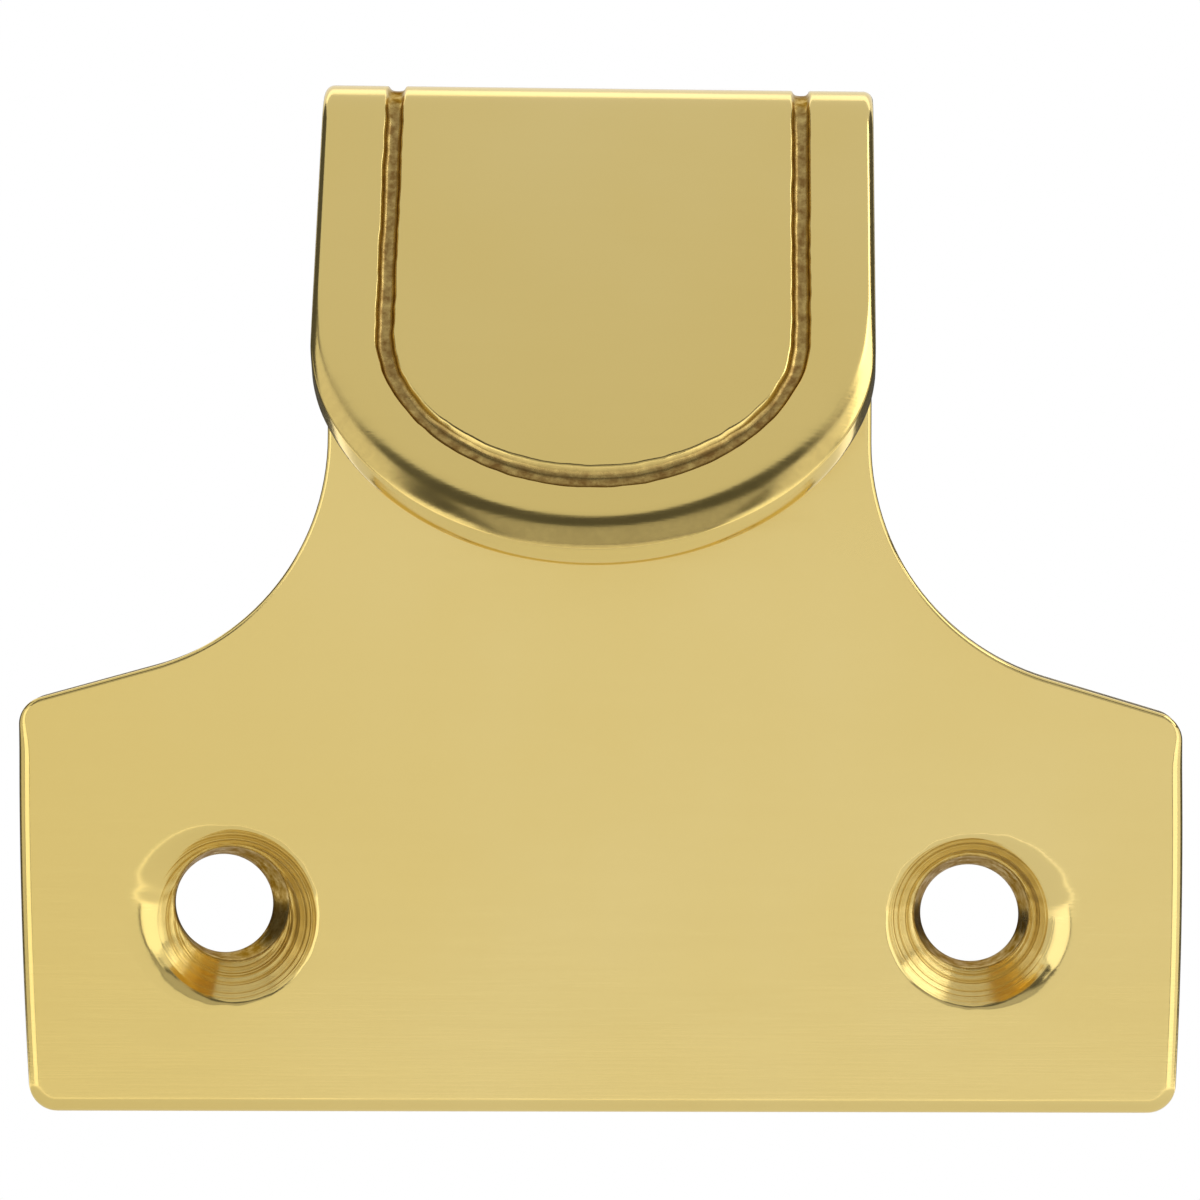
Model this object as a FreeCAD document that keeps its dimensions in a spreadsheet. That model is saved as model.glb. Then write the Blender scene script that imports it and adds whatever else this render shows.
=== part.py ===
import FreeCAD, Part
import math
import os

import Sketcher
from FreeCAD import Placement, Rotation, Vector

# Hook sash lift: one brass casting. An inverted-T plate screws to the sash, and its neck turns
# over the top into a tab that hangs in front, flared outwards, for the fingers to pull up on.
# Frame: X across, Y into the sash, Z up. The plate's back lies on Y = 0, the front faces -Y, and
# the origin is on the back, midway between the two screw holes. Sizes are in millimetres.

SIZES = [
    ("shoulder_width", 48.0, "plate width at the top of its sides"),
    ("foot_width", 47.2, "plate width along its bottom edge"),
    ("side_bow_radius", 220.0, "the sides are slightly bowed"),
    ("plate_thickness", 3.0, "plate and neck"),
    ("foot_drop", 8.5, "from the screw holes down to the bottom edge"),
    ("shoulder_rise", 8.1, "from the screw holes up to the top of the sides"),
    ("shoulder_slope", 16.0, "degrees, slope of the plate's top edges"),
    ("neck_arc_radius", 10.0, "hollow curve between neck and shoulder"),
    ("top_corner_radius", 1.2, "plate's upper corners"),
    ("foot_corner_radius", 1.2, "plate's lower corners"),
    ("neck_width", 22.4, "neck, bend and tab"),
    ("bend_rise", 29.7, "from the screw holes up to the centre of the bend"),
    ("bend_radius", 4.0, "outside of the bend"),
    ("crook_radius", 1.4, "inside of the bend"),
    ("tab_slope", 40.6, "degrees that the tab stands off the plate's plane"),
    ("tab_length", 22.0, "from the bend to the tip, on the outer face"),
    ("tab_end_flattening", 1.0, "the tab's round end is this much short of a half circle"),
    ("tab_corner_inset", 2.2, "from the tab's middle to the centres of its corner arcs"),
    ("tab_tip_thickness", 2.0, "tab at its tip"),
    ("tab_taper", 1.5, "degrees, the tab thickens towards the bend"),
    ("groove_depth", 0.35, "decorative groove"),
    ("groove_side_border", 2.55, "metal between the groove and the tab's sides"),
    ("groove_tip_border", 2.7, "metal between the groove and the tip"),
    ("groove_leg_width", 0.8, "one leg of the groove"),
    ("groove_end_width", 1.1, "groove at its lowest point"),
    ("groove_end_flattening", 0.65, "the groove's outside is this much short of a half circle"),
    ("groove_corner_inset", 1.65, "from the middle to the centres of the groove's corner arcs"),
    ("groove_runout", 80.0, "degrees round the bend where the legs run out"),
    ("screw_spacing", 31.0, "between the screw holes"),
    ("screw_bore", 4.2, "clearance for a No. 8 wood screw"),
    ("countersink_width", 7.2, "across the countersink"),
    ("countersink_angle", 90.0, "degrees, included"),
    ("front_edge_radius", 0.6, "edges on the plate's front and inside the hook"),
    ("back_edge_radius", 0.4, "edges round the back, the bend and the tab's face"),
]

# Sketcher's numbers for a line's or arc's points, and for a sketch's origin and axes
START, END, CENTRE = 1, 2, 3
ORIGIN, H_AXIS, V_AXIS = -1, -1, -2

MARGIN = 2.0  # how far a cutting outline runs past the metal
CLOSE = 1e-4  # how near two places must be to count as the same


def make_sheet(doc):
    sheet = doc.addObject("Spreadsheet::Sheet", "Sizes")
    for row, (alias, value, note) in enumerate(SIZES, start=1):
        sheet.set(f"A{row}", alias)
        sheet.set(f"B{row}", str(value))
        sheet.set(f"C{row}", note)
        sheet.setAlias(f"B{row}", alias)
    doc.recompute()
    return sheet


def origin_plane(body, role):
    return next(f for f in body.Origin.OriginFeatures if f.Role == role)


def make_sketch(body, name, role, offset=None, offset_rules=None):
    """A sketch on one of the body's origin planes, moved and tilted by rules on the sheet."""
    sketch = body.newObject("Sketcher::SketchObject", name)
    sketch.AttachmentSupport = (origin_plane(body, role), [""])
    sketch.MapMode = "FlatFace"
    if offset:
        sketch.AttachmentOffset = offset
    for path, rule in (offset_rules or {}).items():
        sketch.setExpression(f"AttachmentOffset.{path}", rule)
    return sketch


def add_line(sketch, start, end):
    return sketch.addGeometry(Part.LineSegment(Vector(*start, 0), Vector(*end, 0)), False)


def add_arc(sketch, centre, radius, first, last):
    """An arc that runs anticlockwise between two angles in radians."""
    circle = Part.Circle(Vector(*centre, 0), Vector(0, 0, 1), radius)
    return sketch.addGeometry(Part.ArcOfCircle(circle, first, last), False)


def constrain(sketch, *args):
    return sketch.addConstraint(Sketcher.Constraint(*args))


def dimension(sketch, rule, kind, *args):
    """A driving dimension whose value follows a rule on the sheet."""
    number = constrain(sketch, kind, *args)
    sketch.setExpression(f"Constraints[{number}]", rule)
    return number


def polar(radius, angle):
    return Vector(radius * math.cos(angle), radius * math.sin(angle), 0)


def add_round_end(sketch, values, rules):
    """A round end as three tangent arcs, left corner, tip and right corner. values and rules
    give, as numbers and as rules on the sheet, how far below the sketch's origin its lowest
    point is, its half width, its depth and the radius of its corner arcs."""
    low, half, depth, corner = values
    low_rule, half_rule, depth_rule, corner_rule = rules
    inset = half - corner
    tip_radius = (inset**2 + depth**2 - corner**2) / (2 * (depth - corner))
    rise = tip_radius - depth
    spread = math.atan2(inset, rise)
    top = depth - low
    down = -math.pi / 2
    left = add_arc(sketch, (-inset, top), corner, -math.pi, down - spread)
    tip = add_arc(sketch, (0, top + rise), tip_radius, down - spread, down + spread)
    right = add_arc(sketch, (inset, top), corner, down + spread, 0)
    constrain(sketch, "Tangent", left, END, tip, START)
    constrain(sketch, "Tangent", tip, END, right, START)
    constrain(sketch, "Symmetric", left, START, right, END, V_AXIS)
    constrain(sketch, "Symmetric", left, END, right, START, V_AXIS)
    constrain(sketch, "Horizontal", right, CENTRE, right, END)
    dimension(sketch, f"2 * {half_rule}", "DistanceX", left, START, right, END, 2 * half)
    dimension(sketch, f"{low_rule} - {depth_rule}", "DistanceY", right, END, ORIGIN, START,
              -top)
    dimension(sketch, corner_rule, "Radius", right, corner)
    inset_rule = f"({half_rule} - {corner_rule})"
    tip_rule = f"({inset_rule} ^ 2 + {depth_rule} ^ 2 - {corner_rule} ^ 2)"
    dimension(sketch, f"{tip_rule} / (2 * ({depth_rule} - {corner_rule}))", "Radius", tip,
              tip_radius)
    return left, tip, right


def make_plate_outline(body, size):
    sketch = make_sketch(body, "PlateOutline", "XZ_Plane")
    slope = math.radians(size["shoulder_slope"])
    radius = size["neck_arc_radius"]
    neck = size["neck_width"] / 2
    shoulder = size["shoulder_width"] / 2
    foot = size["foot_width"] / 2
    run = shoulder - (neck + radius - radius * math.sin(slope))
    slope_top = size["shoulder_rise"] + run * math.tan(slope)
    centre_height = slope_top + radius * math.cos(slope)
    slope_start = neck + radius - radius * math.sin(slope)
    half_side = math.hypot(shoulder - foot, size["shoulder_rise"] + size["foot_drop"]) / 2
    lean = math.atan2(shoulder - foot, size["shoulder_rise"] + size["foot_drop"])
    half_turn = math.asin(half_side / size["side_bow_radius"])
    top = size["bend_rise"]

    # anticlockwise from the bottom edge, with the left side mirrored from the right
    bottom = add_line(sketch, (-foot, -size["foot_drop"]), (foot, -size["foot_drop"]))
    middle = Vector((shoulder + foot) / 2, (size["shoulder_rise"] - size["foot_drop"]) / 2, 0)
    reach = size["side_bow_radius"] * math.cos(half_turn)
    centre = middle - polar(reach, -lean)
    side = {}
    side[1] = add_arc(sketch, (centre.x, centre.y), size["side_bow_radius"],
                      -lean - half_turn, -lean + half_turn)
    side[-1] = add_arc(sketch, (-centre.x, centre.y), size["side_bow_radius"],
                       math.pi + lean - half_turn, math.pi + lean + half_turn)
    edge = {}
    upright = {}
    for way in (1, -1):
        edge[way] = add_line(sketch, (way * shoulder, size["shoulder_rise"]),
                             (way * slope_start, slope_top))
        upright[way] = add_line(sketch, (way * neck, centre_height), (way * neck, top))
    down = -math.pi / 2
    hollow = {}
    hollow[1] = add_arc(sketch, (neck + radius, centre_height), radius,
                        math.pi, math.pi * 1.5 - slope)
    hollow[-1] = add_arc(sketch, (-neck - radius, centre_height), radius, down + slope, 0)
    lid = add_line(sketch, (neck, top), (-neck, top))

    constrain(sketch, "Coincident", bottom, END, side[1], START)
    constrain(sketch, "Coincident", bottom, START, side[-1], END)
    constrain(sketch, "Coincident", side[1], END, edge[1], START)
    constrain(sketch, "Coincident", side[-1], START, edge[-1], START)
    constrain(sketch, "Tangent", edge[1], END, hollow[1], END)
    constrain(sketch, "Tangent", edge[-1], END, hollow[-1], START)
    constrain(sketch, "Tangent", hollow[1], START, upright[1], START)
    constrain(sketch, "Tangent", hollow[-1], END, upright[-1], START)
    constrain(sketch, "Coincident", upright[1], END, lid, START)
    constrain(sketch, "Coincident", upright[-1], END, lid, END)
    constrain(sketch, "Vertical", upright[1])
    for first, last in (((bottom, START), (bottom, END)), ((lid, START), (lid, END)),
                        ((side[1], END), (side[-1], START)),
                        ((hollow[1], END), (hollow[-1], START))):
        constrain(sketch, "Symmetric", *first, *last, V_AXIS)
    constrain(sketch, "Equal", side[1], side[-1])
    constrain(sketch, "Equal", hollow[1], hollow[-1])
    dimension(sketch, "Sizes.foot_width", "DistanceX", bottom, START, bottom, END, 2 * foot)
    dimension(sketch, "Sizes.foot_drop", "DistanceY", bottom, START, ORIGIN, START,
              size["foot_drop"])
    dimension(sketch, "Sizes.shoulder_width", "DistanceX", side[-1], START, side[1], END,
              2 * shoulder)
    dimension(sketch, "Sizes.shoulder_rise", "DistanceY", ORIGIN, START, side[1], END,
              size["shoulder_rise"])
    dimension(sketch, "Sizes.side_bow_radius", "Radius", side[1], size["side_bow_radius"])
    dimension(sketch, "Sizes.neck_width", "DistanceX", lid, END, lid, START, 2 * neck)
    dimension(sketch, "Sizes.bend_rise", "DistanceY", ORIGIN, START, lid, START, top)
    dimension(sketch, "Sizes.neck_arc_radius", "Radius", hollow[1], radius)
    dimension(sketch, "Sizes.shoulder_slope * 1 deg", "Angle", edge[-1], slope)
    return sketch


def make_hook_profile(body, size):
    """The strip's side view: up the neck's back, over the bend, down the tab and back inside."""
    sketch = make_sketch(body, "HookProfile", "YZ_Plane")
    slope = math.radians(size["tab_slope"])
    taper = math.radians(size["tab_taper"])
    radius = size["bend_radius"]
    thick = size["plate_thickness"]
    rise = size["bend_rise"]
    crook = size["crook_radius"]
    outward = Vector(-math.cos(slope), math.sin(slope), 0)
    along = Vector(-math.sin(slope), -math.cos(slope), 0)
    bend = Vector(-radius, rise, 0)
    tab_start = bend + outward * radius
    tip = tab_start + along * size["tab_length"]
    tip_inside = tip - outward * size["tab_tip_thickness"]
    upward = -along * math.cos(taper) - outward * math.sin(taper)
    inward = outward * -math.cos(taper) + along * math.sin(taper)
    climb = (-thick - crook - tip_inside.x - inward.x * crook) / upward.x
    tab_end = tip_inside + upward * climb
    crook_centre = tab_end + inward * crook
    low = rise - 2 * radius

    back = add_line(sketch, (0, low), (0, rise))
    bend_arc = add_arc(sketch, (bend.x, bend.y), radius, 0, math.pi - slope)
    face = add_line(sketch, (tab_start.x, tab_start.y), (tip.x, tip.y))
    end = add_line(sketch, (tip.x, tip.y), (tip_inside.x, tip_inside.y))
    inside = add_line(sketch, (tip_inside.x, tip_inside.y), (tab_end.x, tab_end.y))
    crook_arc = add_arc(sketch, (crook_centre.x, crook_centre.y), crook,
                        0, math.atan2(-inward.y, -inward.x))
    front = add_line(sketch, (-thick, crook_centre.y), (-thick, low))
    base = add_line(sketch, (-thick, low), (0, low))

    constrain(sketch, "Tangent", back, END, bend_arc, START)
    constrain(sketch, "Tangent", bend_arc, END, face, START)
    constrain(sketch, "Coincident", face, END, end, START)
    constrain(sketch, "Coincident", end, END, inside, START)
    constrain(sketch, "Tangent", inside, END, crook_arc, END)
    constrain(sketch, "Tangent", crook_arc, START, front, START)
    constrain(sketch, "Coincident", front, END, base, START)
    constrain(sketch, "Coincident", base, END, back, START)
    constrain(sketch, "PointOnObject", back, START, V_AXIS)
    constrain(sketch, "Vertical", back)
    constrain(sketch, "Vertical", front)
    constrain(sketch, "Horizontal", base)
    constrain(sketch, "Perpendicular", face, end)
    dimension(sketch, "Sizes.bend_rise - 2 * Sizes.bend_radius", "DistanceY", ORIGIN, START,
              back, START, low)
    dimension(sketch, "Sizes.bend_rise", "DistanceY", ORIGIN, START, back, END, rise)
    dimension(sketch, "Sizes.plate_thickness", "DistanceX", base, START, base, END, thick)
    dimension(sketch, "Sizes.bend_radius", "Radius", bend_arc, radius)
    dimension(sketch, "Sizes.crook_radius", "Radius", crook_arc, crook)
    dimension(sketch, "Sizes.tab_length", "Distance", face, size["tab_length"])
    dimension(sketch, "Sizes.tab_tip_thickness", "Distance", end, size["tab_tip_thickness"])
    dimension(sketch, "(-90 - Sizes.tab_slope) * 1 deg", "Angle", face,
              -math.pi / 2 - slope)
    dimension(sketch, "(90 - Sizes.tab_slope - Sizes.tab_taper) * 1 deg", "Angle", inside,
              math.pi / 2 - slope - taper)
    return sketch


BEND_Y = "(Sizes.bend_radius + Sizes.bend_radius * cos(Sizes.tab_slope * 1 deg))"
BEND_Z = "(Sizes.bend_rise + Sizes.bend_radius * sin(Sizes.tab_slope * 1 deg))"


def make_tab_sketch(body, name, size):
    """A sketch on the tab's outer face: X across, Y up the tab, origin where the bend ends."""
    slope = math.radians(size["tab_slope"])
    radius = size["bend_radius"]
    height = size["bend_rise"] + radius * math.sin(slope)
    ahead = radius + radius * math.cos(slope)
    offset = Placement(Vector(0, height, ahead), Rotation(Vector(1, 0, 0), -size["tab_slope"]))
    rules = {"Base.y": BEND_Z, "Base.z": BEND_Y,
             "Rotation.Angle": "-Sizes.tab_slope * 1 deg"}
    return make_sketch(body, name, "XZ_Plane", offset, rules)


def make_tab_end(body, size):
    """What is cut away round the tab's tip: a rounded end inside a larger rectangle."""
    sketch = make_tab_sketch(body, "TabEnd", size)
    half = size["neck_width"] / 2
    depth = half - size["tab_end_flattening"]
    values = (size["tab_length"], half, depth, half - size["tab_corner_inset"])
    rules = ("Sizes.tab_length", "(Sizes.neck_width / 2)",
             "(Sizes.neck_width / 2 - Sizes.tab_end_flattening)",
             "(Sizes.neck_width / 2 - Sizes.tab_corner_inset)")
    top = depth - size["tab_length"]
    wide = half + MARGIN
    low = -size["tab_length"] - MARGIN
    left, _, right = add_round_end(sketch, values, rules)
    right_step = add_line(sketch, (half, top), (wide, top))
    right_drop = add_line(sketch, (wide, top), (wide, low))
    floor = add_line(sketch, (wide, low), (-wide, low))
    left_drop = add_line(sketch, (-wide, low), (-wide, top))
    left_step = add_line(sketch, (-wide, top), (-half, top))
    loop = [(right, END, right_step, START), (right_step, END, right_drop, START),
            (right_drop, END, floor, START), (floor, END, left_drop, START),
            (left_drop, END, left_step, START), (left_step, END, left, START)]
    for pair in loop:
        constrain(sketch, "Coincident", *pair)
    for level in (right_step, left_step):
        constrain(sketch, "Horizontal", level)
    for upright in (right_drop, left_drop):
        constrain(sketch, "Vertical", upright)
    dimension(sketch, f"Sizes.neck_width + {2 * MARGIN}", "DistanceX", floor, END,
              floor, START, 2 * wide)
    dimension(sketch, f"Sizes.tab_length + {MARGIN}", "DistanceY", floor, START,
              ORIGIN, START, -low)
    constrain(sketch, "Symmetric", floor, START, floor, END, V_AXIS)
    return sketch


def make_groove_end(body, size):
    """The U of the decorative groove, from where the bend ends to its lowest point."""
    sketch = make_tab_sketch(body, "GrooveEnd", size)
    leg = size["groove_leg_width"]
    low = size["tab_length"] - size["groove_tip_border"]
    half = size["neck_width"] / 2 - size["groove_side_border"]
    depth = half - size["groove_end_flattening"]
    corner = half - size["groove_corner_inset"]
    end_width = size["groove_end_width"]
    rules = ("(Sizes.tab_length - Sizes.groove_tip_border)",
             "(Sizes.neck_width / 2 - Sizes.groove_side_border)",
             "(Sizes.neck_width / 2 - Sizes.groove_side_border - Sizes.groove_end_flattening)",
             "(Sizes.neck_width / 2 - Sizes.groove_side_border - Sizes.groove_corner_inset)")
    outside = add_round_end(sketch, (low, half, depth, corner), rules)
    inner_rules = [f"({rule} - Sizes.{less})" for rule, less in
                   zip(rules, ("groove_end_width", "groove_leg_width", "groove_end_width",
                               "groove_leg_width"))]
    inside = add_round_end(sketch, (low - end_width, half - leg, depth - end_width,
                                    corner - leg), inner_rules)
    for way, end, point in ((1, 2, END), (-1, 0, START)):
        starts = []
        for arcs, reach in ((outside, half), (inside, half - leg)):
            starts.append(add_line(sketch, (way * reach, 0), (way * reach, depth - low)))
            constrain(sketch, "Coincident", starts[-1], END, arcs[end], point)
            constrain(sketch, "Vertical", starts[-1])
            constrain(sketch, "PointOnObject", starts[-1], START, H_AXIS)
        cap = add_line(sketch, (way * half, 0), (way * (half - leg), 0))
        constrain(sketch, "Coincident", cap, START, starts[0], START)
        constrain(sketch, "Coincident", cap, END, starts[1], START)
    return sketch


def make_groove_legs(body, size):
    """The section of the groove's legs, turned about an axis a little below the bend's own, so
    that the legs get shallower over the top and run out behind it."""
    slope = math.radians(size["tab_slope"])
    fade = math.cos(math.radians(size["groove_runout"]))
    radius = size["bend_radius"]
    depth = size["groove_depth"]
    floor = radius + depth * fade / (1 - fade)
    step = radius - depth - floor
    outward = Vector(0, math.sin(slope), math.cos(slope))
    place = Vector(0, size["bend_rise"], radius) + outward * step
    offset = Placement(place, Rotation(Vector(1, 0, 0), 90 - size["tab_slope"]))
    fade_rule = "cos(Sizes.groove_runout * 1 deg)"
    extra = f"Sizes.groove_depth * {fade_rule} / (1 - {fade_rule})"
    shift = f"(-Sizes.groove_depth - {extra})"
    rules = {"Base.y": f"Sizes.bend_rise + {shift} * sin(Sizes.tab_slope * 1 deg)",
             "Base.z": f"Sizes.bend_radius + {shift} * cos(Sizes.tab_slope * 1 deg)",
             "Rotation.Angle": "(90 - Sizes.tab_slope) * 1 deg"}
    sketch = make_sketch(body, "GrooveLegs", "XZ_Plane", offset, rules)
    outer = size["neck_width"] / 2 - size["groove_side_border"]
    leg = size["groove_leg_width"]
    for way in (1, -1):
        near, far = sorted((way * outer, way * (outer - leg)))
        corners = [(near, floor), (far, floor), (far, floor + MARGIN), (near, floor + MARGIN)]
        sides = [add_line(sketch, a, b) for a, b in zip(corners, corners[1:] + corners[:1])]
        for a, b in zip(sides, sides[1:] + sides[:1]):
            constrain(sketch, "Coincident", a, END, b, START)
        for level in (sides[0], sides[2]):
            constrain(sketch, "Horizontal", level)
        for upright in (sides[1], sides[3]):
            constrain(sketch, "Vertical", upright)
        dimension(sketch, "Sizes.groove_leg_width", "DistanceX", sides[0], START,
                  sides[0], END, leg)
        dimension(sketch, f"{MARGIN}", "DistanceY", sides[1], START, sides[1], END, MARGIN)
        dimension(sketch, f"Sizes.bend_radius + {extra}", "DistanceY", ORIGIN, START,
                  sides[0], START, floor)
        outer_end = (sides[0], END) if way > 0 else (sides[0], START)
        ends = (ORIGIN, START, *outer_end) if way > 0 else (*outer_end, ORIGIN, START)
        dimension(sketch, "Sizes.neck_width / 2 - Sizes.groove_side_border", "DistanceX",
                  *ends, outer)
    return sketch


def make_hole_centres(body, size):
    offset = Placement(Vector(0, 0, size["plate_thickness"]), Rotation())
    sketch = make_sketch(body, "HoleCentres", "XZ_Plane", offset,
                         {"Base.z": "Sizes.plate_thickness"})
    half = size["screw_spacing"] / 2
    bores = []
    for x in (-half, half):
        circle = Part.Circle(Vector(x, 0, 0), Vector(0, 0, 1), size["screw_bore"] / 2)
        bores.append(sketch.addGeometry(circle, False))
        dimension(sketch, "Sizes.screw_bore / 2", "Radius", bores[-1], size["screw_bore"] / 2)
    constrain(sketch, "PointOnObject", bores[0], CENTRE, H_AXIS)
    constrain(sketch, "Symmetric", bores[0], CENTRE, bores[1], CENTRE, V_AXIS)
    dimension(sketch, "Sizes.screw_spacing", "DistanceX", bores[0], CENTRE, bores[1], CENTRE,
              2 * half)
    return sketch


def add_feature(body, kind, name, **settings):
    feature = body.newObject(f"PartDesign::{kind}", name)
    for key, value in settings.items():
        setattr(feature, key, value)
    return feature


def changed_volume(doc, body, before, sign, name):
    """Recomputes and makes sure that a feature really added or took away metal."""
    doc.recompute()
    volume = body.Shape.Volume
    if (volume - before) * sign <= 0:
        raise RuntimeError(f"{name} changed nothing: {before:.2f} to {volume:.2f} mm3")
    print(f"{name}: {volume:.1f} mm3")
    return volume


def fillet_edges(doc, body, name, chosen, radius_rule):
    base = body.Tip
    names = [f"Edge{k}" for k, edge in enumerate(base.Shape.Edges, start=1) if chosen(edge)]
    fillet = body.newObject("PartDesign::Fillet", name)
    fillet.Base = (base, names)
    fillet.setExpression("Radius", radius_rule)
    doc.recompute()
    return fillet


def corner_at(size, height):
    """Picks the plate's two upright corner edges at a height, through its thickness."""
    beyond = size["neck_width"] / 2
    thick = size["plate_thickness"]

    def chosen(edge):
        box = edge.BoundBox
        through = abs(box.YLength - thick) < CLOSE and box.XLength < CLOSE
        return through and abs(box.Center.x) > beyond and abs(box.Center.z - height) < CLOSE
    return chosen


def foot_edge_at(depth):
    """Picks the bottom edge of the plate's face at a depth. The fillet follows on round it."""
    def chosen(edge):
        box = edge.BoundBox
        return abs(box.YMax - depth) < CLOSE and box.YLength < CLOSE and box.ZMax < 0
    return chosen


def make_lift(doc, size):
    body = doc.addObject("PartDesign::Body", "SashLift")
    body.Label = "sash_lift"

    outline = make_plate_outline(body, size)
    plate = add_feature(body, "Pad", "Plate", Profile=outline)
    plate.setExpression("Length", "Sizes.plate_thickness")
    volume = changed_volume(doc, body, 0, 1, "plate")

    profile = make_hook_profile(body, size)
    hook = add_feature(body, "Pad", "Hook", Profile=profile, SideType="Symmetric")
    hook.setExpression("Length", "Sizes.neck_width")
    volume = changed_volume(doc, body, volume, 1, "hook")

    tab_end = make_tab_end(body, size)
    trim = add_feature(body, "Pocket", "TabRounding", Profile=tab_end)
    trim.setExpression("Length", "3 * Sizes.tab_tip_thickness")
    volume = changed_volume(doc, body, volume, -1, "tab rounding")

    fillet_edges(doc, body, "TopCorners", corner_at(size, size["shoulder_rise"]),
                 "Sizes.top_corner_radius")
    fillet_edges(doc, body, "FootCorners", corner_at(size, -size["foot_drop"]),
                 "Sizes.foot_corner_radius")
    volume = changed_volume(doc, body, volume, -1, "corners")
    fillet_edges(doc, body, "FrontEdges", foot_edge_at(-size["plate_thickness"]),
                 "Sizes.front_edge_radius")
    volume = changed_volume(doc, body, volume, -1, "front edges")
    fillet_edges(doc, body, "BackEdges", foot_edge_at(0), "Sizes.back_edge_radius")
    volume = changed_volume(doc, body, volume, -1, "back edges")

    groove_end = make_groove_end(body, size)
    cut = add_feature(body, "Pocket", "Groove", Profile=groove_end)
    cut.setExpression("Length", "Sizes.groove_depth")
    volume = changed_volume(doc, body, volume, -1, "groove")

    groove_legs = make_groove_legs(body, size)
    turn = add_feature(body, "Groove", "GrooveOverBend", Profile=groove_legs,
                       ReferenceAxis=(groove_legs, ["H_Axis"]), Reversed=True)
    turn.setExpression("Angle", "(Sizes.groove_runout + 5) * 1 deg")
    volume = changed_volume(doc, body, volume, -1, "groove over the bend")

    centres = make_hole_centres(body, size)
    doc.recompute()
    hole = add_feature(body, "Hole", "ScrewHoles", Profile=centres, DepthType="ThroughAll",
                       HoleCutType="Countersink")
    hole.HoleCutCustomValues = True
    hole.setExpression("Diameter", "Sizes.screw_bore")
    hole.setExpression("HoleCutDiameter", "Sizes.countersink_width")
    hole.setExpression("HoleCutCountersinkAngle", "Sizes.countersink_angle * 1 deg")
    changed_volume(doc, body, volume, -1, "screw holes")
    return body


def check(doc, pieces):
    for thing in doc.Objects:
        if "Invalid" in thing.State or "Error" in thing.State:
            raise RuntimeError(f"{thing.Name} failed: {thing.State}")
    for piece in pieces:
        if piece.Shape.isNull() or not piece.Shape.isValid():
            raise RuntimeError(f"{piece.Label} has no valid shape")
        if len(piece.Shape.Solids) != 1:
            raise RuntimeError(f"{piece.Label} is {len(piece.Shape.Solids)} solids")


def main():
    doc = FreeCAD.newDocument("SashLift")
    sheet = make_sheet(doc)
    size = {alias: float(sheet.get(alias)) for alias, _, _ in SIZES}
    pieces = [make_lift(doc, size)]
    check(doc, pieces)
    os.makedirs("parts", exist_ok=True)
    for piece in pieces:
        piece.Shape.exportStep(f"parts/{piece.Label}.step")
        box = piece.Shape.BoundBox
        print(f"{piece.Label}: {box.XLength:.2f} x {box.YLength:.2f} x {box.ZLength:.2f} mm, "
              f"{piece.Shape.Volume:.0f} mm3")


main()
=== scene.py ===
import math
from bisect import bisect_left

import bmesh
import bpy
from mathutils import Matrix, Vector, noise
from mathutils.geometry import delaunay_2d_cdt
from mathutils.kdtree import KDTree


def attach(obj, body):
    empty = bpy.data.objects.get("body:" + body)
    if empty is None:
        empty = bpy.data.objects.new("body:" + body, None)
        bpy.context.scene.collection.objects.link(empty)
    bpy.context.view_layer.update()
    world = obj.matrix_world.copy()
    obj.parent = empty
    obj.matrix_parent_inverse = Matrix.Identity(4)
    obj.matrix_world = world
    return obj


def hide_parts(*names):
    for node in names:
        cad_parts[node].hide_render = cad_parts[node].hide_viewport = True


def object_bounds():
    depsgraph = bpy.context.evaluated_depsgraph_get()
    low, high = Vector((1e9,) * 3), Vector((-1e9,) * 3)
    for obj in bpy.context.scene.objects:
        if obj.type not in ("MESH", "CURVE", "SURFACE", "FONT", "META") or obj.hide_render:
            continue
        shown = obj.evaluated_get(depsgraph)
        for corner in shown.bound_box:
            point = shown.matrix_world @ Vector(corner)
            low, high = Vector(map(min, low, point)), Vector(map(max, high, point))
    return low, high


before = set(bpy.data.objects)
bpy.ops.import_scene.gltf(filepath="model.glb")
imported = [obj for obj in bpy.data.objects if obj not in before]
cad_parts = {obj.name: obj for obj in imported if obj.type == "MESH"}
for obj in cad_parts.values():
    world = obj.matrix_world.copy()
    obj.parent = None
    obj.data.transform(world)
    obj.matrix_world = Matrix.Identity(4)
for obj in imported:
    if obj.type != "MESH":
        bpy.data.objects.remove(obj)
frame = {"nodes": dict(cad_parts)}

cadLow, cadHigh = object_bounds()
millimetre = 0.001
print("frame loaded:", ", ".join(frame["nodes"]))

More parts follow.
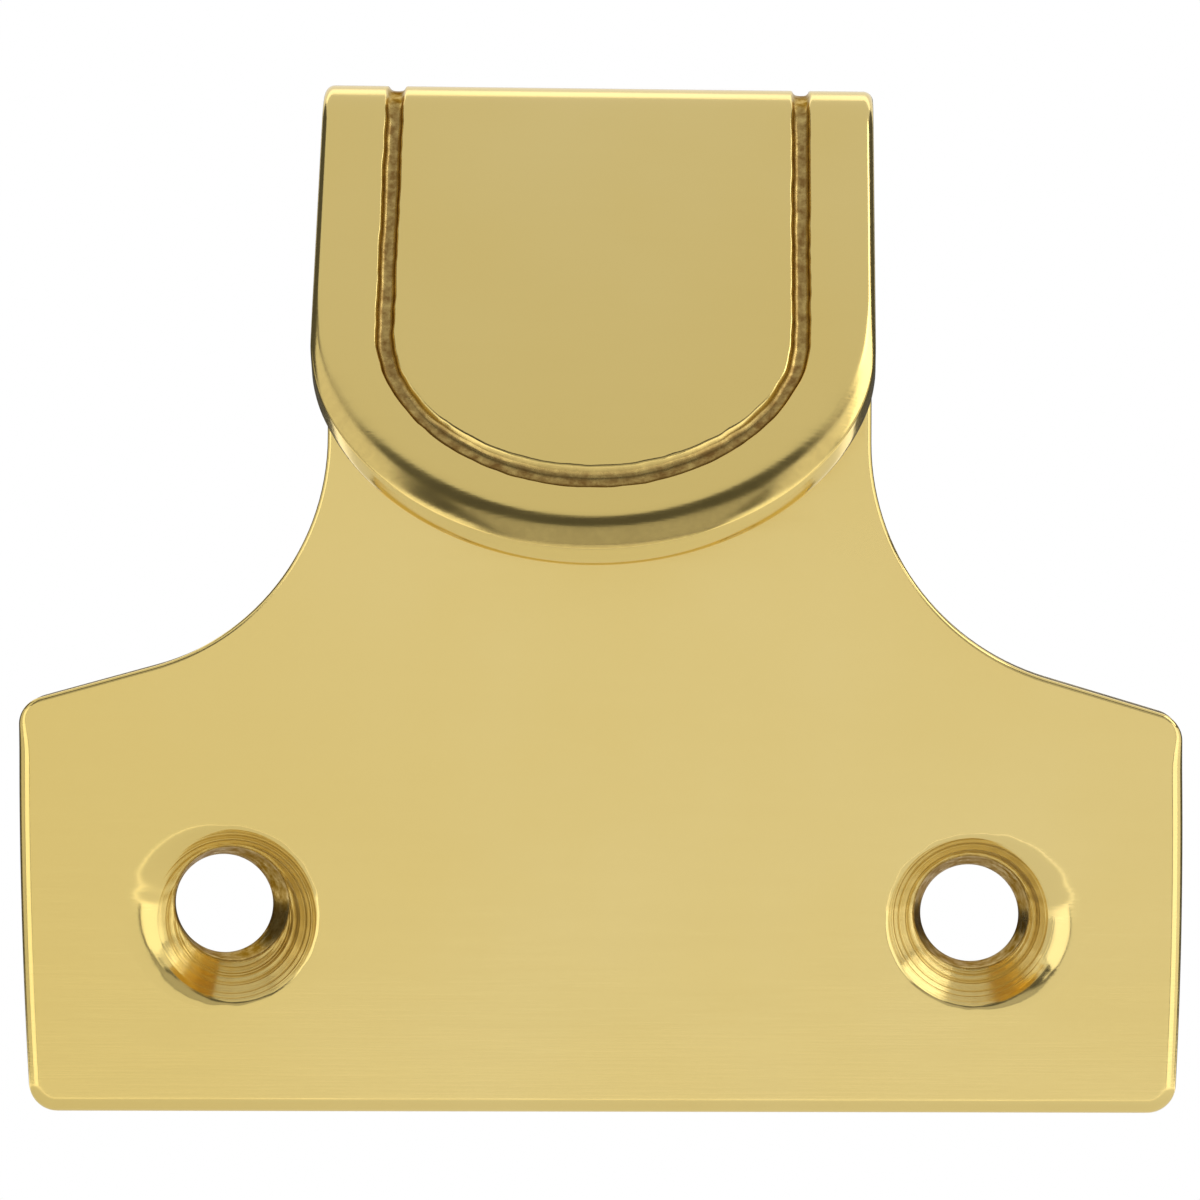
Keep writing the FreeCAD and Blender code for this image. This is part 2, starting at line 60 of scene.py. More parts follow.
# The lift is worked up flat, as a blank, and then folded over the top. On the blank, u runs
# across, v along the strip from the plate's foot to the tab's tip, and w through the metal from
# the back. The plate's back becomes the outside of the bend and the tab's face.
casting = {
    "shoulderWidth": 48.0,
    "footWidth": 47.2,
    "sideBow": 220.0,
    "thickness": 3.0,
    "footDrop": 8.5,
    "shoulderRise": 8.1,
    "shoulderSlope": 16.0,
    "neckArc": 10.0,
    "topCorner": 1.2,
    "footCorner": 1.2,
    "neckWidth": 22.4,
    "bendRise": 29.7,
    "bendRadius": 4.0,
    "crookRadius": 1.4,
    "tabSlope": 40.6,
    "tabLength": 22.0,
    "tabEndFlattening": 0.7,
    "tabCornerInset": 2.2,
    "tipThickness": 2.0,
    "tabTaper": 1.5,
    "plateEdge": 0.55,       # rounding of the plate's front edge, at the sides and foot
    "crispEdge": 0.2,        # the same on the shoulders and neck
    "insideEdge": 0.5,       # the same on the tab's inner side
    "backEdge": 0.4,         # rounding round the back, the bend and the tab's sides
    "tipInsideEdge": 0.85,   # the tip's inner edge, rounded off more for the fingers
    "tipRoll": 1.62,         # how far the tip's edge is rolled back by polishing
    "tipRollAngle": 33.0,
    "tipNose": 0.16,
    "meshStep": 0.45,
    "bendStep": 0.22,
    "endStep": 0.3,
    "cornerStep": 0.12,
    "skew": 0.0135,          # the pattern was a little out of true above the foot
    "footFlare": 0.004,      # and wider low down on the right, below this height
    "flareTop": 6.0,
    "bendShift": 0.03,       # the bend is off to the right, coming in between two heights
    "shiftStart": 18.0,
    "shiftEnd": 28.0,
    "waviness": 0.012,       # how far hand polishing leaves the faces from flat
    "wavinessSize": 9.0,
}
groove = {
    "sideBorder": 2.55,
    "tipBorder": 2.7,
    "legWidth": 0.8,
    "endWidth": 1.1,
    "endFlattening": 0.65,
    "cornerInset": 1.65,
    "depth": 0.35,
    "runOut": 80.0,          # degrees back round the bend
    "wobble": 0.035,         # how far the cutter strayed, sideways and in width
    "slipSize": 1.3,         # larger is busier
    "swellSize": 2.1,
    "points": 60,            # round half of the U's end
    # places across the groove, from one lip to the other, and how deep each one is
    "across": (-0.1, 0, 0.05, 0.12, 0.22, 0.36, 0.5, 0.64, 0.78, 0.88, 0.95, 1, 1.1),
    "deep": (0, 0, 0.12, 0.55, 0.86, 0.97, 1, 0.97, 0.86, 0.55, 0.12, 0, 0),
}
screwHoles = {
    "spacing": 31.0,
    "boreBack": 4.06,
    "boreFront": 4.7,
    "sinkWidth": 7.2,
    # drilled by hand, so each bore leans and each countersink is a little off it: how far the
    # bore's back, its front and the countersink are from their true centres, across and up
    "left": ((-0.21, -0.24), (0.22, -0.12), (0.29, -0.52)),
    "right": ((-0.22, -0.22), (-0.18, -0.06), (-0.10, -0.42)),
    "crispRim": 0.1,
    "softRim": 0.8,          # the buffing wheel dragged the outer side of each rim
    "chatter": 0.025,        # unevenness of the rim
    "innerEdge": 0.1,
    "sinkAngle": 90.0,
    "leftLean": 1.8,         # the drill also leaned towards the lower left
    "rightLean": 3.2,
    "leanTowards": 225.0,
    "coneTarnish": 0.12,
    "lipTarnish": 0.7,
    "boreTarnish": 0.9,
    "around": 120,
}
skirt = 0.08                 # the even strip that joins an edge to the face beside it


def lineSamples(start, end, step):
    along = end - start
    outward = Vector((along.y, -along.x)).normalized()
    count = max(1, round(along.length / step))
    return [(start + along * (k / count), outward) for k in range(count)]


def arcSamples(centre, radius, first, last, step):
    # outward is away from the centre on a bulge, and towards it in a hollow
    count = max(2, round(abs(last - first) * radius / step))
    side = 1 if last > first else -1
    samples = []
    for k in range(count):
        angle = first + (last - first) * k / count
        ray = Vector((math.cos(angle), math.sin(angle)))
        samples.append((centre + ray * radius, ray * side))
    return samples


def cornerSamples(corner, before, after, radius):
    turn = before.angle_signed(after) * -1
    setback = radius * math.tan(turn / 2)
    start = corner - before * setback
    centre = start + Vector((-before.y, before.x)) * radius
    first = math.atan2((start - centre).y, (start - centre).x)
    return arcSamples(centre, radius, first, first + turn, c["cornerStep"]), setback


def roundEnd(tipV, half, depth, corner, step):
    # the right half of a round end, up its corner arc and in along its tip arc to the middle
    inset = half - corner
    tipRadius = (inset**2 + depth**2 - corner**2) / (2 * (depth - corner))
    spread = math.atan2(inset, tipRadius - depth)
    base = tipV - depth
    quarter = math.pi / 2
    samples = arcSamples(Vector((inset, base)), corner, 0, quarter - spread, step)
    middle = Vector((0, tipV - tipRadius))
    return samples + arcSamples(middle, tipRadius, quarter - spread, quarter, step)


def mirrored(samples):
    return [(Vector((-p.x, p.y)), Vector((-n.x, n.y))) for p, n in reversed(samples[1:])]


c = casting
neckHalf = c["neckWidth"] / 2
slope = math.radians(c["tabSlope"])
bendEnd = c["bendRise"] + c["bendRadius"] * (math.pi - slope)
tipV = bendEnd + c["tabLength"]


def blankOutline():
    step = c["meshStep"]
    shoulder = c["shoulderWidth"] / 2
    foot = c["footWidth"] / 2
    tall = c["shoulderRise"] + c["footDrop"]
    lean = math.atan2(shoulder - foot, tall)
    halfTurn = math.asin(math.hypot(shoulder - foot, tall) / 2 / c["sideBow"])
    middle = Vector(((shoulder + foot) / 2, (c["shoulderRise"] - c["footDrop"]) / 2))
    reach = c["sideBow"] * math.cos(halfTurn)
    bowCentre = middle - Vector((math.cos(lean), -math.sin(lean))) * reach
    low = -lean - halfTurn
    high = -lean + halfTurn
    across = Vector((1, 0))
    upSide = Vector((-math.sin(low), math.cos(low)))
    endSide = Vector((-math.sin(high), math.cos(high)))
    tilt = math.radians(c["shoulderSlope"])
    upSlope = Vector((-math.cos(tilt), math.sin(tilt)))
    footCorner, footBack = cornerSamples(Vector((foot, -c["footDrop"])), across, upSide,
                                         c["footCorner"])
    topCorner, topBack = cornerSamples(Vector((shoulder, c["shoulderRise"])), endSide, upSlope,
                                       c["topCorner"])
    radius = c["neckArc"]
    hollowU = neckHalf + radius
    slopeEndU = hollowU - radius * math.sin(tilt)
    slopeEndV = c["shoulderRise"] + (shoulder - slopeEndU) * math.tan(tilt)
    hollowV = slopeEndV + radius * math.cos(tilt)
    shoulderPoint = Vector((shoulder, c["shoulderRise"]))

    right = lineSamples(Vector((0, -c["footDrop"])),
                        Vector((foot - footBack, -c["footDrop"])), step)
    right += footCorner
    right += arcSamples(bowCentre, c["sideBow"], low + footBack / c["sideBow"],
                        high - topBack / c["sideBow"], step)
    right += topCorner
    right += lineSamples(shoulderPoint + upSlope * topBack, Vector((slopeEndU, slopeEndV)), step)
    right += arcSamples(Vector((hollowU, hollowV)), radius, math.pi * 1.5 - tilt, math.pi, step)
    depth = neckHalf - c["tabEndFlattening"]
    stops = [hollowV, c["bendRise"], bendEnd, tipV - depth]
    steps = [step, c["bendStep"], step]
    for start, end, gap in zip(stops, stops[1:], steps):
        right += lineSamples(Vector((neckHalf, start)), Vector((neckHalf, end)), gap)
    right += roundEnd(tipV, neckHalf, depth, neckHalf - c["tabCornerInset"], c["endStep"])
    tip = (Vector((0, tipV)), Vector((0, 1)))
    return right + [tip] + mirrored(right)


def insideProfile():
    # the plate's front and the inside of the crook and tab, in side view, as Y and Z
    taper = math.radians(c["tabTaper"])
    outward = Vector((-math.cos(slope), math.sin(slope)))
    along = Vector((-math.sin(slope), -math.cos(slope)))
    bend = Vector((-c["bendRadius"], c["bendRise"]))
    tip = bend + outward * c["bendRadius"] + along * c["tabLength"]
    tipInside = tip - outward * c["tipThickness"]
    upward = -along * math.cos(taper) - outward * math.sin(taper)
    inward = outward * -math.cos(taper) + along * math.sin(taper)
    crook = c["crookRadius"]
    climb = (-c["thickness"] - crook - tipInside.x - inward.x * crook) / upward.x
    centre = tipInside + upward * climb + inward * crook
    last = math.atan2(-inward.y, -inward.x)
    rounds = 90
    arc = [centre + Vector((math.cos(last * k / rounds), math.sin(last * k / rounds))) * crook
           for k in range(rounds + 1)]
    below = Vector((-c["thickness"], -c["footDrop"] - 1))
    return [below] + arc + [tipInside - upward * 2]


def sideRay(v):
    # where the outer surface is at v once folded, in Y and Z, and which way the metal lies
    theta = min(max(v - c["bendRise"], 0) / c["bendRadius"], math.pi - slope)
    over = max(v - bendEnd, 0)
    ray = Vector((math.cos(theta), math.sin(theta)))
    centre = Vector((-c["bendRadius"], min(v, c["bendRise"])))
    tangent = Vector((-ray.y, ray.x))
    return centre + ray * c["bendRadius"] + tangent * over, -ray


tableStep = 0.1


def thicknessTable():
    # how thick the metal is at each place along the strip
    profile = insideProfile()
    table = []
    for k in range(int((tipV + c["footDrop"]) / tableStep) + 2):
        v = -c["footDrop"] + k * tableStep
        start, ray = sideRay(v)
        best = None
        for a, b in zip(profile, profile[1:]):
            edge = b - a
            det = edge.x * ray.y - edge.y * ray.x
            if abs(det) < 1e-12:
                continue
            gap = a - start
            reach = (edge.x * gap.y - edge.y * gap.x) / det
            part = (ray.x * gap.y - ray.y * gap.x) / det
            if reach > 0.3 and -1e-6 <= part <= 1 + 1e-6 and (best is None or reach < best):
                best = reach
        table.append(best)
    return table


thicknesses = thicknessTable()


def thicknessAt(v):
    place = (v + c["footDrop"]) / tableStep
    k = min(max(int(place), 0), len(thicknesses) - 2)
    part = min(max(place - k, 0), 1)
    return thicknesses[k] * (1 - part) + thicknesses[k + 1] * part


class Blank:
    # a mesh being gathered: places in u, v, w and what each point has of each finish mask
    def __init__(self):
        self.places = []
        self.masks = {"tarnish": [], "turned": [], "behind": []}
        self.faces = []

    def add(self, u, v, w, **masks):
        self.places.append((u, v, w))
        for name, values in self.masks.items():
            values.append(masks.get(name, 0.0))
        return len(self.places) - 1

    def strip(self, first, second, closed=True):
        count = len(first)
        for k in range(count if closed else count - 1):
            n = (k + 1) % count
            self.faces.append((first[k], first[n], second[n], second[k]))

    def flat(self, indices):
        return [Vector(self.places[k][:2]) for k in indices]


def insideLoop(point, loop):
    inside = False
    for a, b in zip(loop, loop[1:] + loop[:1]):
        if (a.y > point.y) != (b.y > point.y):
            if point.x < a.x + (point.y - a.y) / (b.y - a.y) * (b.x - a.x):
                inside = not inside
    return inside


def halfWidths(outline):
    right = [p for p, _ in outline if p.x > 1e-6]
    vs, us = [], []
    for p in sorted(right, key=lambda p: p.y):
        vs.append(p.y)
        us.append(p.x)

    def halfWidthAt(v):
        k = min(max(bisect_left(vs, v), 1), len(vs) - 1)
        part = (v - vs[k - 1]) / max(vs[k] - vs[k - 1], 1e-9)
        return us[k - 1] + (us[k] - us[k - 1]) * min(max(part, 0), 1)
    return halfWidthAt


def onBend(v):
    return c["bendRise"] - 0.6 < v < bendEnd


def latticeRows():
    rows = []
    v = -c["footDrop"]
    while v < tipV:
        rows.append(v)
        v += c["bendStep"] if onBend(v) else c["meshStep"]
    return rows


def fillFace(blank, outer, holes, halfWidthAt, depthAt):
    # a face between one outer loop and the loops round its holes, filled with an even lattice
    loops = [outer] + holes
    fixed = [k for loop in loops for k in loop]
    tree = KDTree(len(fixed))
    for place, k in enumerate(fixed):
        tree.insert((*blank.places[k][:2], 0), place)
    tree.balance()
    shapes = [blank.flat(loop) for loop in loops]
    boxes = [(min(p.x for p in s), max(p.x for p in s), min(p.y for p in s),
              max(p.y for p in s)) for s in shapes[1:]]
    inner = []
    step = c["meshStep"]
    for number, v in enumerate(latticeRows()):
        clear = 0.55 * (c["bendStep"] if onBend(v) else step)
        reach = halfWidthAt(v)
        shift = 0.5 if number % 2 and not onBend(v) else 0
        for k in range(-int(reach / step) - 1, int(reach / step) + 2):
            u = (k + shift) * step
            if abs(u) > reach - clear:
                continue
            point = Vector((u, v))
            if tree.find((u, v, 0))[2] < clear * 1.2:
                continue
            if not insideLoop(point, shapes[0]):
                continue
            inHole = any(box[0] < u < box[1] and box[2] < v < box[3] and insideLoop(point, shape)
                         for shape, box in zip(shapes[1:], boxes))
            if not inHole:
                inner.append(point)
    points = [p for shape in shapes for p in shape] + inner
    edges = []
    loopOf = []
    base = 0
    for number, loop in enumerate(loops):
        edges += [(base + k, base + (k + 1) % len(loop)) for k in range(len(loop))]
        loopOf += [number] * len(loop)
        base += len(loop)
    loopOf += [-1] * len(inner)
    result = delaunay_2d_cdt(points, edges, [], 1, 1e-7)
    if len(result[0]) != len(points):
        print("  face has", len(result[0]), "points, wanted", len(points))
    index = fixed + [blank.add(p.x, p.y, depthAt(p.y)) for p in inner]
    for face in result[2]:
        own = [result[3][k][0] for k in face]
        kinds = {loopOf[k] for k in own}
        if len(kinds) == 1 and -1 not in kinds:
            kind = kinds.pop()
            centre = sum((points[k] for k in own), Vector((0, 0))) / len(own)
            if insideLoop(centre, shapes[kind]) != (kind == 0):
                continue
        blank.faces.append(tuple(index[k] for k in own))


def eased(value, low, high):
    part = min(max((value - low) / (high - low), 0), 1)
    return part * part * (3 - 2 * part)


edging = {
    "backSteps": 12,
    "noseSteps": 5,          # of those, the ones round the tip's nose
    "wallSteps": 3,
    "frontSteps": 8,
    "tipBlendStart": 2.5,    # the tip's edge comes in this far above the round end
    "tipBlend": 7.0,         # and over this length
    "tabBlend": 8.0,         # the tab's inner edge comes in over this length of the bend
    "crispStart": 2.2,       # the crisp edge comes in from this far below the shoulder
    "crispEnd": 0.3,         # to this far above it
    "backSkirt": 0.1,
    # the rings round the tip's rolled edge take a little of the dark brown, which browns that edge
    "rollBrowning": 0.2,
    "brownedRings": range(3, 9),
}


def tipWeight(point):
    # 0 on the tab's straight sides, 1 round its tip
    start = tipV - neckHalf + c["tabEndFlattening"] - edging["tipBlendStart"]
    return eased(point.y, start, start + edging["tipBlend"])


def backWeight(v):
    # 1 on the back, fading to 0 as the strip turns over the bend
    return min(max(1 - (v - c["bendRise"]) / 2, 0), 1)


def backEdgeProfile(weight):
    # inset and depth from the wall to the face, an even rounding or the rolled tip
    radius = c["backEdge"]
    nose = c["tipNose"]
    angle = math.radians(c["tipRollAngle"])
    rollRadius = (c["tipRoll"] - nose * (1 - math.sin(angle))) / math.sin(angle)
    rollDepth = rollRadius * (1 - math.cos(angle))
    steps = edging["backSteps"]
    noseSteps = edging["noseSteps"]
    profile = []
    for k in range(steps + 1):
        psi = math.pi / 2 * (1 - k / steps)
        plain = (radius * (1 - math.sin(psi)), radius * (1 - math.cos(psi)))
        if k <= noseSteps:
            psi = math.pi / 2 + (angle - math.pi / 2) * k / noseSteps
            rolled = (nose * (1 - math.sin(psi)),
                      rollDepth + nose * (math.cos(angle) - math.cos(psi)))
        else:
            psi = angle * (1 - (k - noseSteps) / (steps - noseSteps))
            rolled = (c["tipRoll"] - rollRadius * math.sin(psi),
                      rollRadius * (1 - math.cos(psi)))
        profile.append(tuple(a + (b - a) * weight for a, b in zip(plain, rolled)))
    return profile


def addEdges(blank, outline):
    # the side wall and both rounded edges, as rings that run all the way round
    wallSteps = edging["wallSteps"]
    frontSteps = edging["frontSteps"]
    backRings = [[] for _ in range(edging["backSteps"] + 2)]
    frontRings = [[] for _ in range(wallSteps + frontSteps + 1)]
    for point, outward in outline:
        weight = tipWeight(point)
        onTab = eased(point.y, c["bendRise"], c["bendRise"] + edging["tabBlend"])
        onNeck = eased(point.y, c["shoulderRise"] - edging["crispStart"],
                       c["shoulderRise"] + edging["crispEnd"])
        front = c["plateEdge"] + (c["crispEdge"] - c["plateEdge"]) * onNeck
        front += (c["insideEdge"] - front) * onTab
        front += (c["tipInsideEdge"] - front) * weight
        behind = backWeight(point.y)
        back = backEdgeProfile(weight)
        wallLow = back[0][1]
        for number, (ring, (inset, depth)) in enumerate(zip(backRings, back)):
            p = point - outward * inset
            # a little of the dark brown goes onto these rings, browning the tip's rolled edge
            browned = number in edging["brownedRings"]
            ring.append(blank.add(p.x, p.y, depth, behind=behind * 0.5,
                                  tarnish=edging["rollBrowning"] * weight if browned else 0.0))
        p = point - outward * (back[-1][0] + edging["backSkirt"])
        backRings[-1].append(blank.add(p.x, p.y, 0, behind=behind))
        wallHigh = thicknessAt(point.y) - front
        for k in range(wallSteps - 1):
            w = wallLow + (wallHigh - wallLow) * ((k + 1) / wallSteps)
            frontRings[k].append(blank.add(point.x, point.y, w))
        for k in range(frontSteps + 1):
            psi = math.pi / 2 * (1 - k / frontSteps)
            p = point - outward * (front * (1 - math.sin(psi)))
            w = thicknessAt(p.y) - front * (1 - math.cos(psi))
            frontRings[wallSteps - 1 + k].append(blank.add(p.x, p.y, w))
        p = point - outward * (front + skirt)
        frontRings[-1].append(blank.add(p.x, p.y, thicknessAt(p.y)))
    for first, second in zip(backRings[1:], backRings[:-1]):
        blank.strip(first, second)
    blank.strip(backRings[0], frontRings[0])
    for first, second in zip(frontRings[:-1], frontRings[1:]):
        blank.strip(first, second)
    return backRings[-1], frontRings[-1]


def grooveRows():
    g = groove
    half = neckHalf - g["sideBorder"]
    leg = g["legWidth"]
    low = tipV - g["tipBorder"]
    depth = half - g["endFlattening"]
    corner = half - g["cornerInset"]
    outer = roundEnd(low, half, depth, corner, c["endStep"])
    inner = roundEnd(low - g["endWidth"], half - leg, depth - g["endWidth"], corner - leg,
                     c["endStep"])

    def resampled(samples):
        reach = [0.0]
        for (a, _), (b, _) in zip(samples, samples[1:]):
            reach.append(reach[-1] + (b - a).length)
        points = []
        for k in range(g["points"]):
            target = reach[-1] * k / (g["points"] - 1)
            n = min(max(bisect_left(reach, target), 1), len(reach) - 1)
            part = (target - reach[n - 1]) / (reach[n] - reach[n - 1])
            points.append(samples[n - 1][0].lerp(samples[n][0], part))
        return points

    outerEnd = resampled(outer + [(Vector((0, low)), None)])
    innerEnd = resampled(inner + [(Vector((0, low - g["endWidth"])), None)])
    top = bendEnd - math.radians(g["runOut"]) * c["bendRadius"]
    base = low - depth
    right = []
    v = top
    while v < base - 0.1:
        right.append((Vector((half, v)), Vector((half - leg, v))))
        v += c["bendStep"] if v < bendEnd else c["meshStep"]
    right += list(zip(outerEnd, innerEnd))
    left = [(Vector((-a.x, a.y)), Vector((-b.x, b.y))) for a, b in reversed(right[:-1])]
    return right + left


def grooveDepthAt(v):
    # full on the tab, shallower over the bend, nothing where the legs run out
    g = groove
    back = max(bendEnd - v, 0) / c["bendRadius"]
    fade = math.cos(math.radians(g["runOut"]))
    spare = g["depth"] * fade / (1 - fade)
    shift = g["depth"] + spare
    floorRadius = c["bendRadius"] + spare
    reach = math.sqrt(floorRadius**2 - (shift * math.sin(back))**2) - shift * math.cos(back)
    return max(c["bendRadius"] - reach, 0)


def addGroove(blank):
    columns = [[] for _ in groove["across"]]
    for outer, inner in grooveRows():
        depth = grooveDepthAt((outer.y + inner.y) / 2)
        stir = groove["wobble"] * min(depth / 0.1, 1)
        middle = (outer + inner) / 2
        slip = noise.noise((middle * groove["slipSize"]).to_3d() + Vector((0, 0, 3.1))) * stir
        swell = noise.noise((middle * groove["swellSize"]).to_3d() + Vector((0, 0, 8.4))) * stir
        side = (inner - outer).normalized()
        start = outer + side * (slip + swell)
        end = inner + side * (slip - swell)
        for column, part, share in zip(columns, groove["across"], groove["deep"]):
            p = start.lerp(end, part)
            column.append(blank.add(p.x, p.y, depth * share,
                                    tarnish=share * min(depth / 0.2, 1)))
    for first, second in zip(columns, columns[1:]):
        blank.strip(first, second, closed=False)
    startRow = [column[0] for column in columns]
    endRow = [column[-1] for column in columns]
    return columns[0] + endRow[1:-1] + columns[-1][::-1] + startRow[1:-1][::-1]


def holeCentres(way):
    true = Vector((way * screwHoles["spacing"] / 2, 0))
    return [true + Vector(shift) for shift in screwHoles["right" if way > 0 else "left"]]


def addScrewHole(blank, way):
    h = screwHoles
    thick = c["thickness"]
    backCentre, frontCentre, sinkCentre = holeCentres(way)
    backRadius = h["boreBack"] / 2
    frontRadius = h["boreFront"] / 2
    sink = h["sinkWidth"] / 2
    outwards = 0 if way > 0 else math.pi
    drillLean = h["rightLean" if way > 0 else "leftLean"]
    towards = math.radians(h["leanTowards"])
    edge = h["innerEdge"]
    # how many rings go to each part, from the front face through to the back
    rimSteps, coneSteps, lipSteps, wallSteps, backSteps = 8, 7, 3, 5, 3
    starts = [1]
    for count in (rimSteps + 1, coneSteps, lipSteps, wallSteps, backSteps):
        starts.append(starts[-1] + count)
    coneStart, lipStart, wallStart, backStart, last = starts[1:]
    rings = [[] for _ in range(last + 1)]
    for k in range(h["around"]):
        beta = 2 * math.pi * k / h["around"]
        ray = Vector((math.cos(beta), math.sin(beta)))
        drag = max(math.cos(beta - outwards), 0) ** 1.3
        lean = math.radians(90 - h["sinkAngle"] / 2 - drillLean * math.cos(beta - towards))
        rattle = noise.noise(Vector((ray.x * 6, ray.y * 6, way * 5)))
        soft = h["crispRim"] * (1 + 0.5 * rattle) + h["softRim"] * drag
        rollRadius = soft / math.tan(lean / 2)
        reach = sink + soft + h["chatter"] * rattle
        p = sinkCentre + ray * (reach + skirt)
        rings[0].append(blank.add(p.x, p.y, thick))
        for n in range(rimSteps + 1):
            psi = lean * n / rimSteps
            p = sinkCentre + ray * (reach - rollRadius * math.sin(psi))
            w = thick - rollRadius * (1 - math.cos(psi))
            rings[1 + n].append(blank.add(p.x, p.y, w, turned=(n / rimSteps) ** 4))
        rim = p
        rimDepth = thick - w
        rough = frontRadius + edge * (1 + 0.35 * noise.noise(Vector((ray.x * 9, ray.y * 9, 2))))
        borePoint = frontCentre + ray * rough

        def coneDepth(place):
            # the cone is the same all round, whatever way the bore leans
            inward = (rim - sinkCentre).length - (place - sinkCentre).length
            return rimDepth + inward * math.tan(lean)

        for n in range(coneSteps):
            p = rim.lerp(borePoint, (n + 1) / coneSteps)
            rings[coneStart + n].append(blank.add(p.x, p.y, thick - coneDepth(p), turned=1,
                                                  tarnish=h["coneTarnish"]))
        boreDepth = coneDepth(borePoint)
        for n in range(lipSteps):
            psi = lean + (math.pi / 2 - lean) * (n + 1) / lipSteps
            part = (math.sin(psi) - math.sin(lean)) / (1 - math.sin(lean))
            p = borePoint.lerp(frontCentre + ray * frontRadius, part)
            drop = edge * 1.6 * (math.cos(lean) - math.cos(psi))
            rings[lipStart + n].append(blank.add(p.x, p.y, thick - boreDepth - drop, turned=0.5,
                                                 tarnish=h["lipTarnish"]))
        wallTop = thick - boreDepth - drop
        for n in range(wallSteps):
            part = (n + 1) / wallSteps
            w = wallTop + (edge - wallTop) * part
            p = (frontCentre + ray * frontRadius).lerp(backCentre + ray * backRadius, part)
            rings[wallStart + n].append(blank.add(p.x, p.y, w, turned=0.3,
                                                  tarnish=h["boreTarnish"]))
        for n in range(backSteps):
            psi = math.pi / 2 * (n + 1) / backSteps
            p = backCentre + ray * (backRadius + edge * (1 - math.cos(psi)))
            rings[backStart + n].append(blank.add(p.x, p.y, edge * (1 - math.sin(psi)),
                                                  behind=0.8))
        p = backCentre + ray * (backRadius + edge + skirt)
        rings[last].append(blank.add(p.x, p.y, 0, behind=1))
    for first, second in zip(rings, rings[1:]):
        blank.strip(first, second)
    return rings[0], rings[-1]


def makeBlank():
    blank = Blank()
    outline = blankOutline()
    halfWidthAt = halfWidths(outline)
    backRing, frontRing = addEdges(blank, outline)
    grooveLoop = addGroove(blank)
    fronts, backs = [], []
    for way in (-1, 1):
        front, back = addScrewHole(blank, way)
        fronts.append(front)
        backs.append(back)
    marker = len(blank.places)
    fillFace(blank, backRing, backs + [grooveLoop], halfWidthAt, lambda v: 0.0)
    for k in range(marker, len(blank.places)):
        blank.masks["behind"][k] = backWeight(blank.places[k][1])
    fillFace(blank, frontRing, fronts, halfWidthAt, thicknessAt)

    # the real casting's small faults
    size = c["wavinessSize"]
    corners = []
    for u, v, w in blank.places:
        skewed = c["skew"] * eased(v, -c["footDrop"], 0)
        slip = c["footFlare"] * max(c["flareTop"] - v, 0) * max(u, 0) / neckHalf
        slip += c["bendShift"] * eased(v, c["shiftStart"], c["shiftEnd"])
        thick = thicknessAt(v)
        wave = noise.noise(Vector((u / size, v / size, 0.7))) - 1
        backWave = noise.noise(Vector((u / size, v / size, 5.7))) + 1
        part = min(max(w / thick, 0), 1)
        w += c["waviness"] / 2 * (wave * part + backWave * (1 - part))
        corners.append(Vector((u + slip, -w, v - skewed * u)) * millimetre)
    mesh = bpy.data.meshes.new("sashLiftBlank")
    mesh.from_pydata(corners, [], blank.faces)
    for name, values in blank.masks.items():
        mask = mesh.attributes.new(name, "FLOAT", "POINT")
        mask.data.foreach_set("value", values)
    work = bmesh.new()
    work.from_mesh(mesh)
    bmesh.ops.recalc_face_normals(work, faces=work.faces)
    volume = work.calc_volume(signed=True)
    if volume < 0:
        bmesh.ops.reverse_faces(work, faces=work.faces)
    openEdges = sum(1 for e in work.edges if len(e.link_faces) != 2)
    work.to_mesh(mesh)
    work.free()
    print("blank:", len(mesh.vertices), "points,", len(mesh.polygons), "faces,",
          openEdges, "open edges,", round(abs(volume) * 1e9, 1), "mm3")
    return mesh


def addSocket(tree, name, kind, value=None):
    socket = tree.interface.new_socket(name, in_out="INPUT", socket_type=kind)
    if value is not None:
        socket.default_value = value
    return socket.identifier


def calc(tree, operation, *values):
    node = tree.nodes.new("ShaderNodeMath")
    node.operation = operation
    for socket, value in zip(node.inputs, values):
        if isinstance(value, (int, float)):
            socket.default_value = value
        else:
            tree.links.new(value, socket)
    return node.outputs[0]


